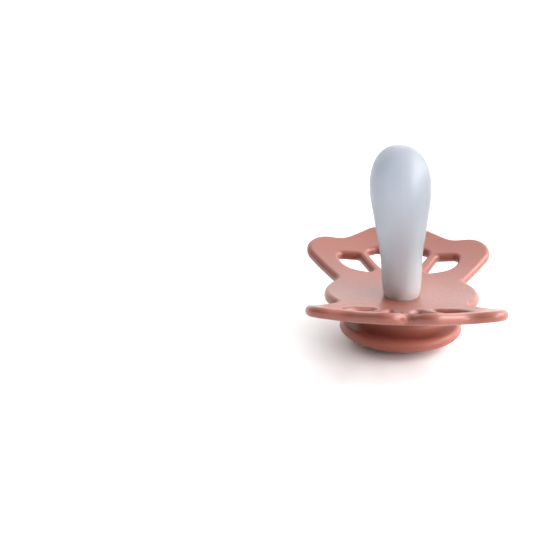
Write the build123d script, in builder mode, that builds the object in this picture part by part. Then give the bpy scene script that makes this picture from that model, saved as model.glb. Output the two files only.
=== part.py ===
from build123d import *
from math import acos, degrees, sqrt
import os

# A baby's pacifier: a bow-shaped shield, a hollow silicone teat, the plug that clamps the teat,
# and a round knob made of a base and a domed cap.
#
# Millimetres. The pacifier stands on its knob with the teat up: +X runs along the shield's long axis,
# +Y along its short axis, +Z along the teat. The origin is where the knob's bottom rests.

# shield: a thin plate bent into a shallow bowl, whose ends and sides rise towards the teat
shield_thickness = 2.3
shield_middle_height = 9.5
length_bend_radius = 72.0
width_bend_radius = 140.0
shield_edge_radius = 1.05
slab_half_length = 40.0
slab_arc = 25.0

# corners of a quarter of the shield's outline, from the end notch to the middle bump, and their radii
notch_corner, notch_radius = (26.9, 0.0), 1.4
lobe_corner, lobe_radius = (31.5, 3.6), 4.0
side_dip_corner, side_dip_radius = (25.2, 12.2), 5.0
wing_tip_corner, wing_tip_radius = (25.3, 24.3), 4.9
waist_corner, waist_radius = (7.9, 13.6), 1.95
bump_corner, bump_radius = (0.0, 18.4), 11.5

# corners of the two vent petals in a quarter of the shield, root first, and their radii
outer_petal_corners = (12.0, 5.3), (13.9, 13.0), (19.1, 13.3), (19.3, 8.8)
outer_petal_radii = 0.8, 5.5, 1.2, 1.0
inner_petal_corners = (12.6, 2.9), (20.7, 7.1), (22.6, 3.6), (17.5, 0.5)
inner_petal_radii = 0.6, 1.3, 1.9, 6.0
petal_edge_radius = 1.0

# teat: its outline across Y, which is widened along X, with heights above the shield's middle
teat_oval = 1.18
teat_wall = 1.3
teat_reach = 33.7
teat_collar_radius = 3.7
teat_flange_radius = 5.3
teat_flange_thickness = 1.6
neck_radius, neck_reach = 4.15, 3.8
throat_radius, throat_reach = 4.45, 9.4
shoulder_radius, shoulder_reach = 5.6, 17.3
bulb_radius, bulb_reach = 6.5, 24.4
crown_radius, crown_reach = 5.35, 30.4
root_slope = 0.3  # how far the teat's outline leans outwards where it leaves the shield
crown_wall_across, crown_wall_down = 0.8, 0.7  # shares of the wall, where the crown slopes

# boss under the shield, round the teat's flange and the plug
running_gap = 0.05
boss_radius = 7.4
boss_wall = 1.0
boss_bottom = 5.1

# plug
plug_flange_thickness = 1.3
plug_stem_radius = 2.35
plug_top = 12.5
plug_top_fillet = 0.7
plug_socket_radius = 1.6

# knob
knob_radius = 13.0
knob_rim_height = 3.6
knob_rim_radius = 1.2
knob_rest_radius = 3.2
knob_wall = 1.6
knob_neck_wall = 1.15
knob_neck_fillet = 1.8
seat_ring_inner, seat_ring_outer = 4.2, 5.8
snap_bead_radius = 0.25
snap_bead_height = 6.4
post_radius = 1.5
post_top = 11.1
post_chamfer = 0.4

# heights and radii that follow from those above
shield_under = shield_middle_height - shield_thickness / 2
shield_top = shield_middle_height + shield_thickness / 2
length_bend_centre = shield_middle_height + length_bend_radius
width_bend_axis = Axis((0, 0, shield_middle_height + width_bend_radius), (1, 0, 0))
neck_height = shield_middle_height + neck_reach
throat_height = shield_middle_height + throat_reach
shoulder_height = shield_middle_height + shoulder_reach
bulb_height = shield_middle_height + bulb_reach
crown_height = shield_middle_height + crown_reach
teat_height = shield_middle_height + teat_reach
teat_flange_bottom = shield_under - teat_flange_thickness
plug_bottom = teat_flange_bottom - plug_flange_thickness
boss_bore_radius = boss_radius - boss_wall
collar_bore_radius = teat_collar_radius + running_gap
knob_top = knob_rim_height + knob_rim_radius
knob_disc_radius = knob_radius - knob_wall
knob_neck_bore = boss_radius + running_gap
knob_neck_radius = knob_neck_bore + knob_neck_wall
knob_neck_top = shield_under - running_gap
dome_depth = knob_rim_height / sqrt(1 - (knob_rest_radius / knob_radius) ** 2)
rest_angle = degrees(acos(knob_rest_radius / knob_radius))


def closed_outline(corners, radii):
    """A face whose outline has these corners, each rounded by its own radius."""
    with BuildLine() as outline:
        FilletPolyline(*corners, radius=radii, close=True)
    make_face(outline.edges())


def mirror_four_ways(point):
    """The point and its mirror images, turning from quarter to quarter."""
    x, y = point
    return (x, y), (-x, y), (-x, -y), (x, -y)


# --- shield: a bent plate with its vent petals, and the boss below it ------------------------------
side_corners = [lobe_corner, side_dip_corner, wing_tip_corner, waist_corner]
side_radii = [lobe_radius, side_dip_radius, wing_tip_radius, waist_radius]
quarters = list(zip(*[mirror_four_ways(corner) for corner in side_corners]))
right_notch, left_notch = mirror_four_ways(notch_corner)[:2]
back_bump, front_bump = mirror_four_ways(bump_corner)[1:3]
outline_corners = [
    right_notch, *quarters[0],
    back_bump, *reversed(quarters[1]),
    left_notch, *quarters[2],
    front_bump, *reversed(quarters[3]),
]
half_radii = [notch_radius, *side_radii, bump_radius, *reversed(side_radii)]

# the bowl that the shield is cut from: a bent strip turned about an axis above it
with BuildPart() as bowl:
    with BuildSketch(Plane.XZ):
        with Locations((0, length_bend_centre)):
            Circle(length_bend_radius + shield_thickness / 2)
            Circle(length_bend_radius - shield_thickness / 2, mode=Mode.SUBTRACT)
        with Locations((0, shield_middle_height)):
            Rectangle(2 * slab_half_length, 2 * shield_middle_height, mode=Mode.INTERSECT)
    revolve(axis=width_bend_axis, revolution_arc=slab_arc)

with BuildPart() as shield:
    with BuildSketch():
        closed_outline(outline_corners, half_radii * 2)
    extrude(amount=2 * shield_middle_height)
    with BuildSketch():
        closed_outline(outer_petal_corners, outer_petal_radii)
        closed_outline(inner_petal_corners, inner_petal_radii)
        mirror(about=Plane.XZ)
        mirror(about=Plane.YZ)
    extrude(amount=2 * shield_middle_height, mode=Mode.SUBTRACT)
    add(bowl.part.rotate(width_bend_axis, -slab_arc / 2), mode=Mode.INTERSECT)
    plate_faces = faces().sort_by(SortBy.AREA)[-2:]
    outline_edges = plate_faces[0].outer_wire().edges() + plate_faces[1].outer_wire().edges()
    fillet(outline_edges, radius=shield_edge_radius)
    plate_faces = faces().sort_by(SortBy.AREA)[-2:]
    petal_wires = plate_faces[0].inner_wires() + plate_faces[1].inner_wires()
    fillet(petal_wires.edges(), radius=petal_edge_radius)
    # boss and its bore
    with BuildSketch(Plane.XY.offset(boss_bottom)):
        Circle(boss_radius)
    extrude(amount=shield_middle_height - boss_bottom)
    with BuildSketch(Plane.XY.offset(boss_bottom)):
        Circle(boss_bore_radius)
    extrude(amount=shield_under - boss_bottom, mode=Mode.SUBTRACT)
    # oval bore for the teat's collar
    with BuildSketch(Plane.XY.offset(shield_under)):
        Ellipse(collar_bore_radius * teat_oval, collar_bore_radius)
    extrude(amount=2 * shield_thickness, mode=Mode.SUBTRACT)
    # groove that the knob's bead snaps into
    with BuildSketch(Plane.XZ):
        with Locations((boss_radius, snap_bead_height)):
            Circle(snap_bead_radius + running_gap)
    revolve(axis=Axis.Z, mode=Mode.SUBTRACT)

# --- teat: a hollow silicone drop with a collar and a flange --------------------------------------
with BuildPart() as teat:
    with BuildSketch(Plane.XZ):
        with BuildLine():
            Spline(
                (teat_collar_radius, shield_top),
                (neck_radius, neck_height),
                (throat_radius, throat_height),
                (shoulder_radius, shoulder_height),
                (bulb_radius, bulb_height),
                (crown_radius, crown_height),
                (0, teat_height),
                tangents=((root_slope, 1), (-1, 0)),
            )
            Line((0, teat_height), (0, teat_height - teat_wall))
            Spline(
                (0, teat_height - teat_wall),
                (
                    crown_radius - crown_wall_across * teat_wall,
                    crown_height - crown_wall_down * teat_wall,
                ),
                (bulb_radius - teat_wall, bulb_height),
                (shoulder_radius - teat_wall, shoulder_height),
                (throat_radius - teat_wall, throat_height),
                (plug_stem_radius + running_gap, neck_height),
                tangents=((1, 0), (0, -1)),
            )
            Polyline(
                (plug_stem_radius + running_gap, neck_height),
                (plug_stem_radius + running_gap, teat_flange_bottom),
                (teat_flange_radius, teat_flange_bottom),
                (teat_flange_radius, shield_under),
                (teat_collar_radius, shield_under),
                (teat_collar_radius, shield_top),
            )
        make_face()
    revolve(axis=Axis.Z)
    scale(by=(teat_oval, 1, 1))

# --- plug: a flange below the teat's, and an oval stem up its bore --------------------------------
with BuildPart() as teat_plug:
    with BuildSketch(Plane.XY.offset(plug_bottom)):
        Circle(boss_bore_radius - running_gap)
    extrude(amount=plug_flange_thickness)
    with BuildSketch(Plane.XY.offset(teat_flange_bottom)):
        Ellipse(plug_stem_radius * teat_oval, plug_stem_radius)
    extrude(amount=plug_top - teat_flange_bottom)
    fillet(faces().sort_by(Axis.Z)[-1].edges(), radius=plug_top_fillet)
    with BuildSketch(Plane.XY.offset(plug_bottom)):
        Circle(plug_socket_radius)
    extrude(amount=post_top + running_gap - plug_bottom, mode=Mode.SUBTRACT)

# --- knob base: a disc with a neck that snaps round the boss, a seat ring and a post --------------
with BuildPart() as knob_base:
    with BuildSketch(Plane.XY.offset(knob_rim_height)):
        Circle(knob_disc_radius - running_gap)
    extrude(amount=knob_rim_radius)
    with BuildSketch(Plane.XY.offset(knob_top)):
        Circle(knob_neck_radius)
    extrude(amount=knob_neck_top - knob_top)
    disc_top_edges = edges().filter_by(GeomType.CIRCLE).filter_by_position(Axis.Z, knob_top, knob_top)
    fillet(disc_top_edges.sort_by(SortBy.RADIUS)[0], radius=knob_neck_fillet)
    with BuildSketch(Plane.XY.offset(knob_top)):
        Circle(knob_neck_bore)
    extrude(amount=knob_neck_top - knob_top, mode=Mode.SUBTRACT)
    with BuildSketch(Plane.XY.offset(knob_top)):
        Circle(seat_ring_outer)
        Circle(seat_ring_inner, mode=Mode.SUBTRACT)
    extrude(amount=plug_bottom - knob_top)
    with BuildSketch(Plane.XY.offset(knob_top)):
        Circle(post_radius)
    extrude(amount=post_top - knob_top)
    chamfer(faces().sort_by(Axis.Z)[-1].edges(), length=post_chamfer)
    with BuildSketch(Plane.XZ):
        with Locations((boss_radius + snap_bead_radius / 2, snap_bead_height)):
            Circle(snap_bead_radius)
    revolve(axis=Axis.Z)

# --- knob cap: a domed shell with a small flat to rest on, whose rim holds the base ---------------
rim_inner = (knob_disc_radius, knob_top)
rim_outer = (knob_radius - knob_rim_radius, knob_top)

with BuildPart() as knob_cap:
    with BuildSketch(Plane.XZ):
        with BuildLine():
            Line((0, 0), (knob_rest_radius, 0))
            EllipticalCenterArc(
                (0, knob_rim_height), knob_radius, dome_depth, start_angle=-rest_angle, arc_size=rest_angle
            )
            RadiusArc((knob_radius, knob_rim_height), rim_outer, -knob_rim_radius)
            Polyline(rim_outer, rim_inner, (knob_disc_radius, knob_rim_height))
            EllipticalCenterArc(
                (0, knob_rim_height), knob_disc_radius, dome_depth - knob_wall, start_angle=-90, arc_size=90
            )
            Line((0, knob_rim_height - dome_depth + knob_wall), (0, 0))
        make_face()
    revolve(axis=Axis.Z)

os.makedirs("parts", exist_ok=True)
for piece, name in (
    (shield, "shield"),
    (teat, "teat"),
    (teat_plug, "teat_plug"),
    (knob_base, "knob_base"),
    (knob_cap, "knob_cap"),
):
    piece.part.label = name
    export_step(piece.part, f"parts/{name}.step")
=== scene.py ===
"""A baby's pacifier standing on its knob, teat up: moulded pink plastic and milky silicone."""
import bpy
from math import copysign, cos, hypot, pi, radians, sin
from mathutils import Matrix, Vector


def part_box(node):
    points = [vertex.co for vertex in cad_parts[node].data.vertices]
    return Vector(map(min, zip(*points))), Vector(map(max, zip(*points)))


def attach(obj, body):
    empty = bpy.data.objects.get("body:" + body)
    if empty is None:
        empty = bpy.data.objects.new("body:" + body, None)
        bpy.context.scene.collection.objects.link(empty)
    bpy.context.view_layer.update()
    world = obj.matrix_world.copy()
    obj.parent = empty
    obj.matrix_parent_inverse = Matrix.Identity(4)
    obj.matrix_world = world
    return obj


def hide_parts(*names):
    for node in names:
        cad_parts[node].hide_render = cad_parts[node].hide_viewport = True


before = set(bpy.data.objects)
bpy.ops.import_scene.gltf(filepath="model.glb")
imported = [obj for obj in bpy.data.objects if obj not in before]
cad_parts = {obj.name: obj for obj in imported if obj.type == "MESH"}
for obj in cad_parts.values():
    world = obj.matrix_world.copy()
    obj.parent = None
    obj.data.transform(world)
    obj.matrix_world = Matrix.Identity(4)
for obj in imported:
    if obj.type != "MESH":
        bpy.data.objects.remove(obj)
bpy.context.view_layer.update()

MM = 0.001

# --- camera: along the shield's long axis, from a little above --------------------------------------
VIEW_AZIMUTH = radians(86.7)
VIEW_ELEVATION = radians(19.2)
VIEW_ROLL = radians(0.8)
VIEW_DISTANCE = 370 * MM
VIEW_TARGET = Vector((0, 0, 9.5 * MM))
AIM_LEFT = 29.1 * MM
AIM_ABOVE = 5.9 * MM
VIEW_ANGLE = radians(17.5)
NEAREST_SEEN = 10 * MM
FURTHEST_SEEN = 10

# --- light and floor: metres and watts --------------------------------------------------------------
SKY_BRIGHT_SIDE = (-0.7, 0.7, 0)
SKY_BRIGHTEST = 2.9
SKY_DARKEST = 0.05
KEY_PLACE, KEY_WIDTH, KEY_HEIGHT, KEY_WATTS = Vector((-0.05, 1.1, 0.65)), 0.9, 0.9, 16
WINDOW_PLACE, WINDOW_WIDTH, WINDOW_HEIGHT, WINDOW_WATTS = Vector((0.6, 1.0, 0.25)), 0.5, 0.4, 6
FLOOR_HALF = 3
PAPER_WHITE = (0.92, 0.92, 0.92, 1)
PAPER_ROUGHNESS = 0.9

# --- the shield and the teat, as the CAD model has them ---------------------------------------------
SHIELD_MIDDLE = 9.5 * MM
SHIELD_THICKNESS = 2.3 * MM
SHIELD_TOP = SHIELD_MIDDLE + SHIELD_THICKNESS / 2
SHIELD_UNDER = SHIELD_MIDDLE - SHIELD_THICKNESS / 2
teat_low, teat_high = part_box("teat")
TEAT_OVAL = (teat_high.x - teat_low.x) / (teat_high.y - teat_low.y)
TEAT_WALL = 1.3 * MM
COLLAR_RADIUS = 3.7 * MM
FLANGE_RADIUS = 5.3 * MM
FLANGE_EDGE = 0.25 * MM
BORE_RADIUS = 2.4 * MM

# the outline across Y, up to the widest place: (radius, height above the shield's middle), millimetres
TEAT_OUTLINE = ((3.7, 1.15), (4.15, 3.8), (4.45, 9.4), (5.6, 17.3), (6.5, 24.4))
ROOT_SLOPE = (0.3, 1)
UPRIGHT = (0, 1)
CROWN_FULLNESS = 2.3  # 2 is an ellipse, and more is squarer
TEAT_LEAN = 0.047  # sideways for each unit of height above the shield
MOULD_LINE = 0.05 * MM
LINE_ANGLE = 0.01  # a point this near to the X axis, in radians, is on the mould line
TEAT_SIDES = 144
OUTER_STEPS = 12
INNER_STEPS = 10
CROWN_STEPS = 24
ON_AXIS = 1e-6

# --- colours, linear --------------------------------------------------------------------------------
SHIELD_LIGHT, SHIELD_DARK = (0.262, 0.078, 0.054), (0.245, 0.070, 0.048)
KNOB_LIGHT, KNOB_DARK = (0.31, 0.094, 0.066), (0.29, 0.085, 0.059)
PLASTIC_GLOW = (1.0, 0.4, 0.3)
SILICONE_LIGHT, SILICONE_DARK = (0.76, 0.78, 0.81), (0.74, 0.765, 0.80)
# painted fill light: a pale colour that lightens the lower teat where it falls into shade
SILICONE_PAINTED_FILL = (0.98, 0.98, 0.98)
# painted at the root: the pink of the plug seen through the wall, made paler as painted fill light
# against the shade there
SILICONE_ROOT_PLUG_AND_FILL_PAINT = (0.98, 0.86, 0.84)
SILICONE_DEPTH = (0.32, 0.37, 0.46)
SILICONE_DENSITY = 260

# where the silicone changes, by height: painted fill light that makes the lower teat paler, the plug's
# pink painted at the root with painted fill light, and the real change in how much light goes through
ROOT_PAINT_END = SHIELD_TOP + 4 * MM
PAINTED_FILL_START = SHIELD_TOP + 2 * MM
PAINTED_FILL_END = SHIELD_TOP + 22 * MM
CLEAR_END = SHIELD_TOP + 12 * MM
CLEAR_AT_ROOT, CLEAR_ABOVE = 0.6, 0.95


def add_camera():
    """Looks past the pacifier's left, so that it stands in the right half of the picture."""
    back = Vector((
        sin(VIEW_AZIMUTH) * cos(VIEW_ELEVATION),
        -cos(VIEW_AZIMUTH) * cos(VIEW_ELEVATION),
        sin(VIEW_ELEVATION),
    ))
    right = Vector((0, 0, 1)).cross(back).normalized()
    up = back.cross(right)
    camera = bpy.data.objects.new("camera", bpy.data.cameras.new("camera"))
    bpy.context.scene.collection.objects.link(camera)
    camera.location = VIEW_TARGET + back * VIEW_DISTANCE
    aim = VIEW_TARGET - right * AIM_LEFT + up * AIM_ABOVE
    camera.rotation_euler = (aim - camera.location).to_track_quat("-Z", "Y").to_euler()
    camera.rotation_euler.rotate_axis("Z", VIEW_ROLL)
    camera.data.angle = VIEW_ANGLE
    camera.data.clip_start = NEAREST_SEEN
    camera.data.clip_end = FURTHEST_SEEN
    bpy.context.scene.camera = camera


def map_range(tree, value, lowest, highest, low, high):
    """Maps lowest to highest onto low to high in a node tree, and holds the ends."""
    node = tree.nodes.new("ShaderNodeMapRange")
    ends = {"From Min": lowest, "From Max": highest, "To Min": low, "To Max": high}
    for socket, number in ends.items():
        node.inputs[socket].default_value = number
    tree.links.new(value, node.inputs["Value"])
    return node.outputs["Result"]


def add_sky():
    """A sky that is brighter behind and on the right than in front and on the left."""
    world = bpy.data.worlds.new("studio")
    bpy.context.scene.world = world
    world.use_nodes = True
    tree = world.node_tree
    background = tree.nodes["Background"]
    background.inputs["Color"].default_value = (1, 1, 1, 1)
    facing = tree.nodes.new("ShaderNodeVectorMath")
    facing.operation = "DOT_PRODUCT"
    facing.inputs[1].default_value = SKY_BRIGHT_SIDE
    direction = tree.nodes.new("ShaderNodeTexCoord").outputs["Generated"]
    tree.links.new(direction, facing.inputs[0])
    strength = map_range(tree, facing.outputs["Value"], -1, 1, SKY_DARKEST, SKY_BRIGHTEST)
    tree.links.new(strength, background.inputs["Strength"])


def add_area_light(name, place, width, height, watts):
    """A rectangular lamp that faces the pacifier."""
    light = bpy.data.lights.new(name, "AREA")
    light.shape = "RECTANGLE"
    light.size = width
    light.size_y = height
    light.energy = watts
    lamp = bpy.data.objects.new(name, light)
    bpy.context.scene.collection.objects.link(lamp)
    lamp.location = place
    lamp.rotation_euler = (VIEW_TARGET - lamp.location).to_track_quat("-Z", "Y").to_euler()


def add_floor():
    """A plain sheet of white paper."""
    half = FLOOR_HALF
    mesh = bpy.data.meshes.new("floor")
    corners = [(-half, -half, 0), (half, -half, 0), (half, half, 0), (-half, half, 0)]
    mesh.from_pydata(corners, [], [(0, 1, 2, 3)])
    floor = bpy.data.objects.new("floor", mesh)
    bpy.context.scene.collection.objects.link(floor)
    paper = bpy.data.materials.new("floor_paper")
    paper.use_nodes = True
    shader = paper.node_tree.nodes["Principled BSDF"]
    shader.inputs["Base Color"].default_value = PAPER_WHITE
    shader.inputs["Roughness"].default_value = PAPER_ROUGHNESS
    mesh.materials.append(paper)


class Shading:
    """A material and its nodes, with short calls to add to them."""

    def __init__(self, name):
        self.material = bpy.data.materials.new(name)
        self.material.use_nodes = True
        self.tree = self.material.node_tree
        self.shader = self.tree.nodes["Principled BSDF"]
        self.place = self.add("ShaderNodeTexCoord").outputs["Object"]

    def add(self, kind, **settings):
        node = self.tree.nodes.new(kind)
        for key, value in settings.items():
            setattr(node, key, value)
        return node

    def link(self, source, target):
        self.tree.links.new(source, target)

    def feed(self, source, socket):
        """Links a node's output to one of the shader's own sockets."""
        self.link(source, self.shader.inputs[socket])

    def set(self, **values):
        """Sets the shader's own sockets: base_color=... is Base Color."""
        for key, value in values.items():
            words = key.replace("_", " ").title().replace("Ior", "IOR")
            self.shader.inputs[words].default_value = value

    def noise(self, size, detail=2.0, roughness=0.5):
        """Noise whose largest features are about this size, in millimetres."""
        node = self.add("ShaderNodeTexNoise")
        node.inputs["Scale"].default_value = 1 / (size * MM)
        node.inputs["Detail"].default_value = detail
        node.inputs["Roughness"].default_value = roughness
        self.link(self.place, node.inputs["Vector"])
        return node.outputs["Fac"]

    def spread(self, noise, low, high):
        """Maps the middle of a noise's range onto low to high."""
        return map_range(self.tree, noise, 0.3, 0.7, low, high)

    def rise(self, bottom, top, low=0, high=1):
        """Goes from low to high between two heights, in metres."""
        node = self.add("ShaderNodeSeparateXYZ")
        self.link(self.place, node.inputs["Vector"])
        return map_range(self.tree, node.outputs["Z"], bottom, top, low, high)

    def mix(self, value, first, second):
        """A colour that goes from first to second with value. Each is a colour or a node's output."""
        node = self.add("ShaderNodeMix", data_type="RGBA")
        for socket, colour in (("A", first), ("B", second)):
            if isinstance(colour, tuple):
                node.inputs[socket].default_value = (*colour, 1)
            else:
                self.link(colour, node.inputs[socket])
        self.link(value, node.inputs["Factor"])
        return node.outputs["Result"]

    def absorb(self, colour, density):
        """Darkens light by the length of its way through the material. Density is per metre."""
        node = self.add("ShaderNodeVolumeAbsorption")
        node.inputs["Color"].default_value = (*colour, 1)
        node.inputs["Density"].default_value = density
        self.link(node.outputs["Volume"], self.tree.nodes["Material Output"].inputs["Volume"])

    def bump(self, layers):
        """Surface relief: each layer is (height noise, depth in millimetres)."""
        normal = None
        for height, depth in layers:
            node = self.add("ShaderNodeBump")
            node.inputs["Distance"].default_value = depth * MM
            self.link(height, node.inputs["Height"])
            if normal:
                self.link(normal, node.inputs["Normal"])
            normal = node.outputs["Normal"]
        self.feed(normal, "Normal")


def moulded_plastic(name, light, dark, roughness, shine):
    """Satin polypropylene: a spark-eroded grain, faint flow marks and a little light let through."""
    look = Shading(name)
    look.set(subsurface_weight=0.3, subsurface_radius=PLASTIC_GLOW, subsurface_scale=1.2 * MM)
    look.set(specular_ior_level=shine, ior=1.49)
    clouds = look.spread(look.noise(size=9.0, detail=3.0), 0, 1)
    look.feed(look.mix(clouds, light, dark), "Base Color")
    patches = look.noise(size=0.6, detail=4.0)
    look.feed(look.spread(patches, roughness - 0.05, roughness + 0.05), "Roughness")
    grain = look.noise(size=0.14, detail=3.0, roughness=0.6)
    flow_marks = look.noise(size=5.0)
    look.bump([(grain, 0.006), (flow_marks, 0.02)])
    return look.material


def silicone():
    """Milky silicone: rough glass, darker where its wall is deeper, with painted fill light making it
    paler low down and the plug's pink painted at the root with painted fill light.
    """
    look = Shading("milky_silicone")
    look.shader.subsurface_method = "BURLEY"
    look.set(subsurface_weight=0.75, subsurface_radius=(1.0, 1.0, 1.0), subsurface_scale=2.5 * MM)
    look.set(specular_ior_level=0.0, ior=1.41)
    look.set(coat_weight=0.25, coat_roughness=0.08, coat_ior=1.41)
    clouds = look.spread(look.noise(size=7.0), 0, 1)
    milk = look.mix(clouds, SILICONE_LIGHT, SILICONE_DARK)
    # painted fill light: paler towards the bottom of the teat, to lift the shade low down
    painted_fill = look.mix(look.rise(PAINTED_FILL_START, PAINTED_FILL_END), SILICONE_PAINTED_FILL, milk)
    # painted at the root: the plug's pink seen through the wall, with painted fill light against the
    # shade there
    root = look.mix(look.rise(SHIELD_TOP, ROOT_PAINT_END), SILICONE_ROOT_PLUG_AND_FILL_PAINT, painted_fill)
    look.feed(root, "Base Color")
    look.feed(look.rise(SHIELD_TOP, CLEAR_END, CLEAR_AT_ROOT, CLEAR_ABOVE), "Transmission Weight")
    look.feed(look.spread(look.noise(size=1.2, detail=3.0), 0.42, 0.48), "Roughness")
    look.absorb(SILICONE_DEPTH, SILICONE_DENSITY)
    look.bump([(look.noise(size=4.0), 0.02)])
    return look.material


def smooth_curve(points, start_slope, end_slope, steps):
    """A curve through the points (radius, height), with the given slopes at its ends."""
    points = [Vector(point) for point in points]
    spans = [(b - a).length for a, b in zip(points, points[1:])]
    slopes = [Vector(start_slope).normalized()]
    for i in range(1, len(points) - 1):
        before = (points[i] - points[i - 1]) / spans[i - 1]
        after = (points[i + 1] - points[i]) / spans[i]
        slopes.append((before * spans[i] + after * spans[i - 1]) / (spans[i] + spans[i - 1]))
    slopes.append(Vector(end_slope).normalized())
    curve = []
    for i, span in enumerate(spans):
        for step in range(steps):
            t = step / steps
            curve.append(
                points[i] * (2 * t**3 - 3 * t**2 + 1)
                + slopes[i] * span * (t**3 - 2 * t**2 + t)
                + points[i + 1] * (3 * t**2 - 2 * t**3)
                + slopes[i + 1] * span * (t**3 - t**2)
            )
    curve.append(points[-1])
    return curve


def crown(radius, height, top):
    """The outline above the widest place, rounded over to the top."""
    curve = []
    for step in range(1, CROWN_STEPS + 1):
        angle = pi / 2 * step / CROWN_STEPS
        across, up = (max(0, x) ** (2 / CROWN_FULLNESS) for x in (cos(angle), sin(angle)))
        curve.append(Vector((radius * across, height + (top - height) * up)))
    curve[-1].x = 0
    return curve


def lathe(name, profile, sides, shape):
    """Turns a profile of (radius, height) about Z. shape(x, y, z, turn) moves each point."""
    verts, faces, rings = [], [], []
    for radius, height in profile:
        if radius < ON_AXIS:
            rings.append([len(verts)] * sides)
            verts.append(shape(0, 0, height, 0))
            continue
        rings.append(range(len(verts), len(verts) + sides))
        for i in range(sides):
            turn = 2 * pi * i / sides
            verts.append(shape(radius * cos(turn), radius * sin(turn), height, turn))
    for lower, upper in zip(rings, rings[1:]):
        for i in range(sides):
            j = (i + 1) % sides
            # a face at a pole names one point twice, and dict.fromkeys keeps it once
            faces.append(list(dict.fromkeys((lower[i], lower[j], upper[j], upper[i]))))
    mesh = bpy.data.meshes.new(name)
    mesh.from_pydata(verts, [], faces)
    mesh.validate()
    mesh.polygons.foreach_set("use_smooth", [True] * len(mesh.polygons))
    piece = bpy.data.objects.new(name, mesh)
    bpy.context.scene.collection.objects.link(piece)
    return piece


def teat_profile():
    """The closed outline of the teat's wall: down the inside, round the flange and up the outside."""
    outline = [(radius * MM, SHIELD_MIDDLE + height * MM) for radius, height in TEAT_OUTLINE]
    outer = smooth_curve(outline, ROOT_SLOPE, UPRIGHT, OUTER_STEPS)
    outer += crown(*outline[-1], teat_high.z)
    hollow = [(BORE_RADIUS, outline[1][1])]
    hollow += [(radius - TEAT_WALL, height) for radius, height in outline[2:]]
    inner = smooth_curve(hollow, UPRIGHT, UPRIGHT, INNER_STEPS)
    inner += crown(*hollow[-1], teat_high.z - TEAT_WALL)
    flange = [
        (BORE_RADIUS, teat_low.z),
        (FLANGE_RADIUS - FLANGE_EDGE, teat_low.z),
        (FLANGE_RADIUS, teat_low.z + FLANGE_EDGE),
        (FLANGE_RADIUS, SHIELD_UNDER - FLANGE_EDGE),
        (FLANGE_RADIUS - FLANGE_EDGE, SHIELD_UNDER),
        (COLLAR_RADIUS, SHIELD_UNDER),
    ]
    return list(reversed(inner)) + [Vector(point) for point in flange] + outer


def shape_teat(x, y, z, turn):
    """Widens the teat along X, raises the mould line, and leans what stands above the shield."""
    above = max(0, z - SHIELD_TOP)
    from_line = min(turn % pi, pi - turn % pi)
    ridge = 0
    if above and from_line < LINE_ANGLE and hypot(x, y) > COLLAR_RADIUS:
        ridge = copysign(MOULD_LINE, x)
    return x * TEAT_OVAL + ridge, y - TEAT_LEAN * above, z


def make_teat():
    """The drop of silicone, in place of the CAD teat."""
    piece = lathe("teat_drop", teat_profile(), TEAT_SIDES, shape_teat)
    piece.data.materials.append(silicone())
    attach(piece, "root")
    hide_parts("teat")


def finish_plastics():
    """Gives the CAD pieces that show, and the plug, their moulded plastic."""
    shield_plastic = moulded_plastic("shield_plastic", SHIELD_LIGHT, SHIELD_DARK, 0.33, 0.55)
    knob_plastic = moulded_plastic("knob_plastic", KNOB_LIGHT, KNOB_DARK, 0.45, 0.3)
    plug_plastic = moulded_plastic("plug_plastic", KNOB_LIGHT, KNOB_DARK, 0.5, 0.5)
    finishes = {
        "shield": shield_plastic,
        "knob_base": knob_plastic,
        "knob_cap": knob_plastic,
        "teat_plug": plug_plastic,
    }
    for name, finish in finishes.items():
        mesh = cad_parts[name].data
        mesh.materials.clear()
        mesh.materials.append(finish)


make_teat()
finish_plastics()
add_camera()
add_sky()
add_area_light("key", KEY_PLACE, KEY_WIDTH, KEY_HEIGHT, KEY_WATTS)
add_area_light("window", WINDOW_PLACE, WINDOW_WIDTH, WINDOW_HEIGHT, WINDOW_WATTS)
add_floor()
bpy.context.scene.view_settings.view_transform = "Standard"
